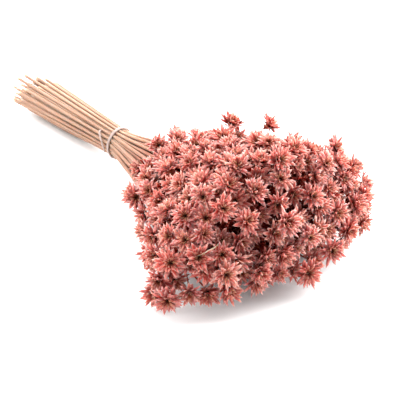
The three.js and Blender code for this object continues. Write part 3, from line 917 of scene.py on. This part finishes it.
class Nodes:
    """Short calls for building a material's nodes."""

    def __init__(self, name):
        self.material = bpy.data.materials.new(name)
        self.material.use_nodes = True
        self.tree = self.material.node_tree
        self.shader = self.tree.nodes["Principled BSDF"]

    def node(self, kind, inputs=(), **settings):
        made = self.tree.nodes.new(kind)
        for key, value in settings.items():
            setattr(made, key, value)
        for key, value in dict(inputs).items():
            self.put(made.inputs[key], value)
        return made

    def put(self, socket, value):
        if isinstance(value, bpy.types.NodeSocket):
            self.tree.links.new(value, socket)
        else:
            socket.default_value = value

    def set(self, **values):
        for key, value in values.items():
            self.put(self.shader.inputs[key.replace("_", " ")], value)

    def attribute(self, name):
        """An attribute as one colour, and its four values."""
        made = self.node("ShaderNodeAttribute", attribute_name=name, attribute_type="GEOMETRY").outputs
        parts = self.node("ShaderNodeSeparateColor", {"Color": made["Color"]}).outputs
        return made["Color"], (parts["Red"], parts["Green"], parts["Blue"], made["Alpha"])

    def position(self):
        return self.node("ShaderNodeTexCoord").outputs["Object"]

    def ramp(self, value, stops):
        made = self.node("ShaderNodeValToRGB", {"Fac": value})
        elements = made.color_ramp.elements
        while len(elements) < len(stops):
            elements.new(0.5)
        for element, (position, colour) in zip(elements, stops):
            element.position = position
            element.color = (*colour, 1)
        return made.outputs["Color"]

    def mix(self, share, a, b):
        """Colour a with that share of colour b."""
        made = self.node("ShaderNodeMix", data_type="RGBA")
        for key, value in ((0, share), (6, a), (7, b)):
            colour = isinstance(value, tuple) and len(value) == 3
            self.put(made.inputs[key], (*value, 1) if colour else value)
        return made.outputs[2]

    def maths(self, kind, a, b=0.0):
        return self.node("ShaderNodeMath", {0: a, 1: b}, operation=kind).outputs[0]

    def noise(self, vector, scale, detail=3.0):
        made = self.node("ShaderNodeTexNoise", {"Vector": vector, "Scale": scale, "Detail": detail})
        return made.outputs["Fac"]

    def spread(self, value, low, high):
        """value from 0.3..0.7, where most of a noise lies, to low..high."""
        inputs = {"Value": value, "From Min": 0.3, "From Max": 0.7, "To Min": low, "To Max": high}
        return self.node("ShaderNodeMapRange", inputs).outputs["Result"]

    def reach(self, value, low, high):
        """0 where value is below low, 1 where it is above high."""
        inputs = {"Value": value, "From Min": low, "From Max": high}
        return self.node("ShaderNodeMapRange", inputs).outputs["Result"]

    def scaled(self, vector, scale):
        return self.node("ShaderNodeMapping", {"Vector": vector, "Scale": scale}).outputs["Vector"]

    def bump(self, height, strength, distance):
        inputs = {"Height": height, "Strength": strength, "Distance": distance}
        self.put(self.shader.inputs["Normal"], self.node("ShaderNodeBump", inputs).outputs["Normal"])


def petal_material():
    """Dyed papery bracts: deep red at the base, partly dye and partly painted shade, and pink towards
    a paler tip, with darker veins.

    The inner bracts run from brown to straw, and bracts deep in the head are darkened with painted shade.
    """
    m = Nodes("dyed_bracts")
    _, (along, shade, tint, deep) = m.attribute("look")
    grain, (_, across, _, _) = m.attribute("grain")
    # The ramps' dark red at the base is partly dye and partly painted shade between the bracts
    coral, lilac, faded = [m.ramp(along, list(zip(ALONG_BRACT, dye_and_shade))) for dye_and_shade in (CORAL, LILAC, FADED)]
    colour = m.mix(m.spread(tint, -0.4, 1.0), coral, lilac)
    colour = m.mix(m.reach(tint, 0.72, 0.95), colour, faded)
    inner = m.ramp(along, [(0.0, (0.05, 0.006, 0.003)), (0.4, (0.34, 0.06, 0.028)),
                           (1.0, (0.74, 0.38, 0.225))])
    colour = m.mix(m.maths("MULTIPLY", shade, 0.8), colour, inner)
    veins = m.noise(m.scaled(grain, (1.2, 5, 40)), 3.0)
    colour = m.mix(m.spread(veins, 0.0, 0.4), colour, (0.28, 0.020, 0.013))
    edge = m.maths("MULTIPLY", m.reach(m.maths("ABSOLUTE", across), 0.35, 1.0), 0.35)
    colour = m.mix(edge, colour, (0.54, 0.28, 0.245))
    cloud = m.noise(m.position(), 90.0, 2.0)
    colour = m.mix(m.spread(cloud, 0.0, 0.25), colour, (0.54, 0.22, 0.19))
    # Painted shade: bracts deep in the head are darkened towards a near-black red
    colour = m.mix(m.maths("MULTIPLY", deep, 0.85), colour, (0.17, 0.006, 0.003))
    m.set(Base_Color=colour, Roughness=0.75, Specular_IOR_Level=0.02)
    m.set(Subsurface_Weight=0.6, Subsurface_Scale=0.0005, Subsurface_Radius=(1.0, 0.4, 0.33))
    m.bump(veins, 0.5, 0.0002)
    return m.material


def heart_material():
    """Coral cups, dark brown open hearts and straw-tipped bristles."""
    m = Nodes("hearts")
    _, (along, bristle, _, _) = m.attribute("look")
    speckle = m.noise(m.position(), 900.0)
    cup = m.ramp(along, [(0.0, (0.02, 0.007, 0.004)), (0.32, (0.033, 0.008, 0.005)),
                         (0.45, (0.33, 0.065, 0.03)), (0.9, (0.48, 0.16, 0.08))])
    needle = m.ramp(along, [(0.0, (0.04, 0.014, 0.007)), (0.4, (0.38, 0.12, 0.05)),
                            (1.0, (0.84, 0.47, 0.26))])
    colour = m.mix(bristle, cup, needle)
    colour = m.mix(m.spread(speckle, 0.0, 0.3), colour, (0.04, 0.014, 0.008))
    m.set(Base_Color=colour, Roughness=0.8, Specular_IOR_Level=0.15)
    m.bump(speckle, 0.4, 0.0002)
    return m.material


def stem_material():
    """Straw stems: fibres and brown patches along them, pale at the cut, and towards the blooms a dark red
    that is partly dye and partly painted shade.
    """
    m = Nodes("straw_stems")
    _, (pink, cut, tint, _) = m.attribute("look")
    grain, _ = m.attribute("grain")
    fibres = m.noise(m.scaled(grain, (6, 3.2, 3.2)), 4.0, 5.0)
    patches = m.noise(m.scaled(grain, (5, 0.4, 0.4)), 2.2, 2.0)
    straw = m.mix(m.spread(tint, 0.0, 1.0), (0.34, 0.212, 0.150), (0.295, 0.172, 0.120))
    straw = m.mix(m.spread(patches, 0.0, 0.55), straw, (0.35, 0.24, 0.18))
    straw = m.mix(m.spread(fibres, 0.0, 0.4), straw, (0.20, 0.098, 0.058))
    # The dyed part's dark red is partly dye and partly painted shade for the stems inside the head
    dye_and_shade = m.mix(m.spread(fibres, 0.0, 0.6), (0.27, 0.034, 0.018), (0.10, 0.008, 0.004))
    colour = m.mix(pink, straw, dye_and_shade)
    colour = m.mix(m.maths("MULTIPLY", cut, 0.5), colour, (0.56, 0.46, 0.35))
    m.set(Base_Color=colour, Roughness=0.6, Specular_IOR_Level=0.1)
    undyed = m.maths("MULTIPLY", m.maths("SUBTRACT", 1.0, pink), 0.8)
    m.set(Subsurface_Weight=undyed, Subsurface_Scale=0.004, Subsurface_Radius=(1.0, 0.6, 0.4))
    m.bump(fibres, 0.6, 0.0003)
    return m.material


def string_material():
    """Pinkish-white cotton with soft darker fibres."""
    m = Nodes("string")
    grain, _ = m.attribute("grain")
    fuzz = m.noise(m.scaled(grain, (60, 4, 4)), 5.0, 4.0)
    colour = m.mix(m.spread(fuzz, 0.0, 0.5), (0.36, 0.275, 0.245), (0.29, 0.195, 0.168))
    m.set(Base_Color=colour, Roughness=0.8, Sheen_Weight=0.3)
    m.bump(fuzz, 0.6, 0.0002)
    return m.material


def floor_material():
    m = Nodes("white_surface")
    cloud = m.noise(m.position(), 3.0, 2.0)
    colour = m.mix(m.spread(cloud, 0.0, 1.0), (0.90, 0.90, 0.90), (0.93, 0.93, 0.93))
    m.set(Base_Color=colour, Roughness=0.6)
    return m.material


# Camera, light and floor

def camera_axes():
    e, a = math.radians(CAMERA_ELEVATION), math.radians(CAMERA_AZIMUTH)
    right = np.array([math.cos(a), math.sin(a), 0])
    back = np.array([math.sin(a) * math.cos(e), -math.cos(a) * math.cos(e), math.sin(e)])
    return right, np.cross(back, right), back


def add_camera():
    right, up, back = camera_axes()
    half_field = math.tan(math.radians(CAMERA_FIELD) / 2)
    focal = FRAME_PIXELS / 2 / half_field
    aside = (ANCHOR_PIXEL[0] - FRAME_PIXELS / 2) / focal * CAMERA_DISTANCE
    above = (FRAME_PIXELS / 2 - ANCHOR_PIXEL[1]) / focal * CAMERA_DISTANCE
    place = np.array(ANCHOR) + SHIFT + back * CAMERA_DISTANCE - right * aside - up * above
    data = bpy.data.cameras.new("camera")
    data.sensor_width = CAMERA_SENSOR
    data.lens = CAMERA_SENSOR / 2 / half_field
    camera = bpy.data.objects.new("camera", data)
    turned = Matrix(np.stack([right, up, back], axis=1).tolist()).to_4x4()
    camera.matrix_world = Matrix.Translation(Vector(place * MM)) @ turned
    bpy.context.scene.collection.objects.link(camera)
    bpy.context.scene.camera = camera


def add_light(name, direction, distance, size, power):
    """A square area light that faces the bunch, with its distance and size in metres."""
    data = bpy.data.lights.new(name, "AREA")
    data.size = size
    data.energy = power
    light = bpy.data.objects.new(name, data)
    light.location = Vector(direction).normalized() * distance
    light.rotation_mode = "QUATERNION"
    light.rotation_quaternion = light.location.to_track_quat("Z", "Y")
    bpy.context.scene.collection.objects.link(light)


def add_studio():
    """Soft light from above, mostly from behind the bunch, and a white world."""
    right, _, back = camera_axes()
    up = np.array([0, 0, 1.0])
    add_light("key", up * 1.5 - right * 0.1 - back * 0.8, distance=1.6, size=3.8, power=206)
    add_light("fill", up * 0.7 + right * 1.1 - back * 0.4, distance=2.0, size=1.6, power=92)
    add_light("left", up * 0.6 - right * 1.3 + back * 0.1, distance=1.8, size=1.2, power=24)
    world = bpy.data.worlds.new("studio")
    world.use_nodes = True
    background = world.node_tree.nodes["Background"].inputs
    background["Color"].default_value = (1, 1, 1, 1)
    background["Strength"].default_value = WORLD_STRENGTH
    bpy.context.scene.world = world
    bpy.context.scene.view_settings.view_transform = "Standard"


def add_floor():
    mesh = bpy.data.meshes.new("surface")
    corners = [(FLOOR_REACH * x, FLOOR_REACH * y, 0) for x, y in ((-1, -1), (1, -1), (1, 1), (-1, 1))]
    mesh.from_pydata(corners, [], [(0, 1, 2, 3)])
    mesh.materials.append(floor_material())
    surface = bpy.data.objects.new("surface", mesh)
    bpy.context.scene.collection.objects.link(surface)


add_camera()
add_studio()
add_floor()
add_sprays()
add_string()
